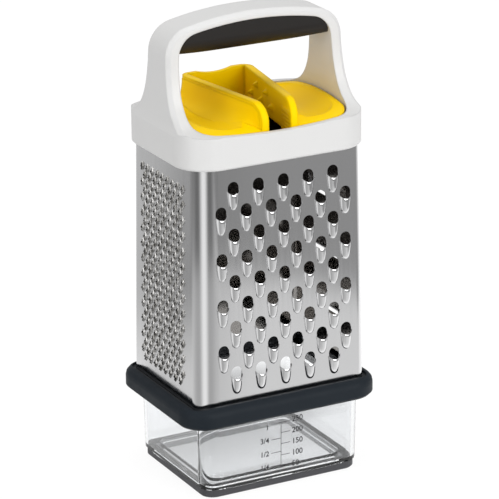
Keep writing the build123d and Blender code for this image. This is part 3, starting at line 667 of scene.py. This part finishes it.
def add_scale_lines():
    bars = [(STEM_X - LINE / 2, STEM_X + LINE / 2, STEM_LOW, STEM_HIGH)]
    bars += [(STEM_X, TICKS_RIGHT, z - LINE / 2, z + LINE / 2) for _, z in LEVELS[:-1]]
    bars += [(TICKS_LEFT, STEM_X, z - LINE / 2, z + LINE / 2) for _, z in PARTS[:-1]]
    bars.append((TICKS_LEFT, TICKS_RIGHT, STEM_HIGH - LINE, STEM_HIGH))
    verts, faces = [], []
    for left, right, low, high in bars:
        n = len(verts)
        for depth in (-INK_GAP, -INK):
            for x, z in ((left, low), (right, low), (right, high), (left, high)):
                verts.append((x, wall_y(z) + depth, z))
        faces += [(n + 4, n + 5, n + 6, n + 7), (n + 3, n + 2, n + 1, n)]
        for k in range(4):
            j = (k + 1) % 4
            faces.append((n + k, n + j, n + 4 + j, n + 4 + k))
    add_piece("scale_lines", verts, faces, ink, "container")


def add_label(name, text, x, z, size, align):
    curve = bpy.data.curves.new(name, "FONT")
    curve.body = text
    curve.size = size * MM
    curve.align_x = align
    curve.align_y = "CENTER"
    curve.extrude = INK / 2 * MM
    curve.offset = BOLDER * MM
    curve.materials.append(ink)
    obj = add_to_scene(name, curve)
    obj.rotation_euler = (math.pi / 2 + math.atan(WALL_LEAN), 0, 0)
    obj.location = Vector((x, wall_y(z) - INK / 2 - INK_GAP, z)) * MM
    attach(obj, "container")


def add_scale():
    add_scale_lines()
    for text, z in LEVELS:
        add_label(f"scale_{text}", text, LEVELS_X, z, LEVELS_SIZE, "LEFT")
    for number, (text, z) in enumerate(PARTS):
        add_label(f"scale_part_{number}", text, PARTS_X, z, PARTS_SIZE, "RIGHT")


add_front_left_sheet()
add_fine_teeth()
add_wing_sweeps()
add_scale()


# Painted reflection: tones laid on the floor for the steel to mirror, in metres round the foot of the
# tower's front left corner
def along(nt, east, north, bearing):
    """Coordinate of a floor point along a bearing"""
    a = math.radians(bearing)
    parts = [calc(nt, "MULTIPLY", east, math.cos(a)), calc(nt, "MULTIPLY", north, math.sin(a))]
    return calc(nt, "ADD", *parts)


def painted_reflection_tone(nt, point, x, y):
    """Painted reflection: brightness laid on the floor for the steel, a light strip, a front side and a
    left side
    """
    wave = add_node(nt, "ShaderNodeTexNoise", {"Scale": 15.0, "Detail": 1.5})
    nt.links.new(point, wave.inputs["Vector"])
    waver = calc(nt, "MULTIPLY", calc(nt, "SUBTRACT", wave.outputs["Fac"], 0.5), 0.05)
    east = calc(nt, "ADD", x, TOWER_HALF_W * MM)
    north = calc(nt, "ADD", y, TOWER_HALF_D * MM)
    ahead = calc(nt, "ADD", calc(nt, "MULTIPLY", north, -1), waver)
    behind = along(nt, east, north, STRIP_BEARING + 180)
    across = along(nt, east, north, STRIP_BEARING + 90)
    swing = calc(nt, "ARCTAN2", across, along(nt, east, north, STRIP_BEARING))
    swing = calc(nt, "MULTIPLY", swing, math.degrees(1))
    away = calc(nt, "ABSOLUTE", swing)
    front = ramp(nt, calc(nt, "ADD", ahead, calc(nt, "MULTIPLY", behind, 0.95)), 0.325, 0.36, 0.90, 0.37)
    front = calc(nt, "ADD", front, ramp(nt, ahead, 0.04, 0.13, 0.4, 0.0))
    front = calc(nt, "MULTIPLY", front, ramp(nt, behind, 0.0, 0.03, 0.80, 1.0))
    left = ramp(nt, north, 0.14, 0.34, 0.84, 0.36)
    left = calc(nt, "ADD", left, ramp(nt, behind, 0.030, 0.040, 0.0, 0.35))
    sides = between(nt, left, front, ramp(nt, swing, -20, 20, 0.0, 1.0))
    flank = ramp(nt, distance(nt, east, north), 0.35, 0.41, 0.55, 0.20)
    strip = between(nt, flank, 1.15, ramp(nt, away, 4, 32, 1.0, 0.0))
    return between(nt, strip, sides, ramp(nt, away, 40, 86, 0.0, 1.0))


def floor_shade(nt, x, y):
    """How much darker the floor is under the container, and softly behind it"""
    under_x = calc(nt, "LESS_THAN", calc(nt, "ABSOLUTE", x), SHADE_HALF_W * MM)
    under_y = calc(nt, "LESS_THAN", calc(nt, "ABSOLUTE", y), SHADE_HALF_D * MM)
    under = calc(nt, "MULTIPLY", under_x, under_y)
    under = calc(nt, "MULTIPLY", under, ramp(nt, y, -0.03, 0.04, 0.10, 0.45))
    behind_x = calc(nt, "SUBTRACT", x, SHADE_BEHIND_X * MM)
    behind_y = calc(nt, "SUBTRACT", y, SHADE_BEHIND_Y * MM)
    behind = distance(nt, behind_x, behind_y)
    return calc(nt, "MAXIMUM", under, ramp(nt, behind, 0.03, 0.065, 0.42, 0.0))


def floor_material():
    """Pale floor for the camera, painted reflection tones that glow for shiny surfaces, plain grey for the
    rest
    """
    material = bpy.data.materials.new("floor")
    material.use_nodes = True
    nt = material.node_tree
    nt.nodes.remove(nt.nodes["Principled BSDF"])
    point = shaded_point(nt)
    x, y, _ = split_axes(nt, point)
    plain = add_node(nt, "ShaderNodeBsdfDiffuse", {"Color": (0.85, 0.85, 0.85, 1)})
    # Painted reflection: the floor glows with these tones only where shiny surfaces look at it
    mirrored = nt.nodes.new("ShaderNodeEmission")
    nt.links.new(painted_reflection_tone(nt, point, x, y), mirrored.inputs["Strength"])
    glow = add_node(nt, "ShaderNodeEmission", {"Color": (1, 1, 1, 1)})
    nt.links.new(calc(nt, "SUBTRACT", 0.92, floor_shade(nt, x, y)), glow.inputs["Strength"])
    faint = add_node(nt, "ShaderNodeBsdfDiffuse", {"Color": (0.12, 0.12, 0.12, 1)})
    pale = nt.nodes.new("ShaderNodeAddShader")
    nt.links.new(glow.outputs[0], pale.inputs[0])
    nt.links.new(faint.outputs[0], pale.inputs[1])
    path = nt.nodes.new("ShaderNodeLightPath")
    unseen = choose_shader(nt, path.outputs["Is Glossy Ray"], plain.outputs[0], mirrored.outputs[0])
    surface = choose_shader(nt, seen_directly(nt, path), unseen, pale.outputs[0])
    nt.links.new(surface, nt.nodes["Material Output"].inputs["Surface"])
    return material


def add_floor():
    mesh = bpy.data.meshes.new("floor")
    mesh.from_pydata([(-6, -6, 0), (6, -6, 0), (6, 6, 0), (-6, 6, 0)], [], [(0, 1, 2, 3)])
    floor = add_to_scene("floor", mesh)
    floor.location = (0, 0, -0.0002)
    mesh.materials.append(floor_material())


def add_room():
    """White background for the camera, softer light of the room for everything else"""
    world = bpy.data.worlds.new("world")
    bpy.context.scene.world = world
    world.use_nodes = True
    nt = world.node_tree
    seen = nt.nodes["Background"]
    set_values(seen, {"Color": (1, 1, 1, 1), "Strength": 1.0})
    room = add_node(nt, "ShaderNodeBackground", {"Color": (0.93, 0.925, 0.925, 1), "Strength": 0.59})
    path = nt.nodes.new("ShaderNodeLightPath")
    surface = choose_shader(nt, seen_directly(nt, path), room.outputs[0], seen.outputs[0])
    nt.links.new(surface, nt.nodes["World Output"].inputs["Surface"])


def add_soft_box(name, where, width, height, power):
    """A lamp that points at the middle of the object"""
    data = bpy.data.lights.new(name, "AREA")
    data.shape = "RECTANGLE"
    data.size = width
    data.size_y = height
    data.energy = power
    lamp = add_to_scene(name, data)
    lamp.location = where
    lamp.rotation_euler = (Vector((0, 0, 0.13)) - Vector(where)).to_track_quat("-Z", "Y").to_euler()


add_floor()
add_room()
add_soft_box("key", (0.5, -1.9, 0.9), 1.2, 1.2, 21)
add_soft_box("fill_left", (-1.7, -0.6, 0.7), 1.0, 1.2, 7)
add_soft_box("top", (0.0, 0.2, 1.8), 1.2, 1.2, 9)
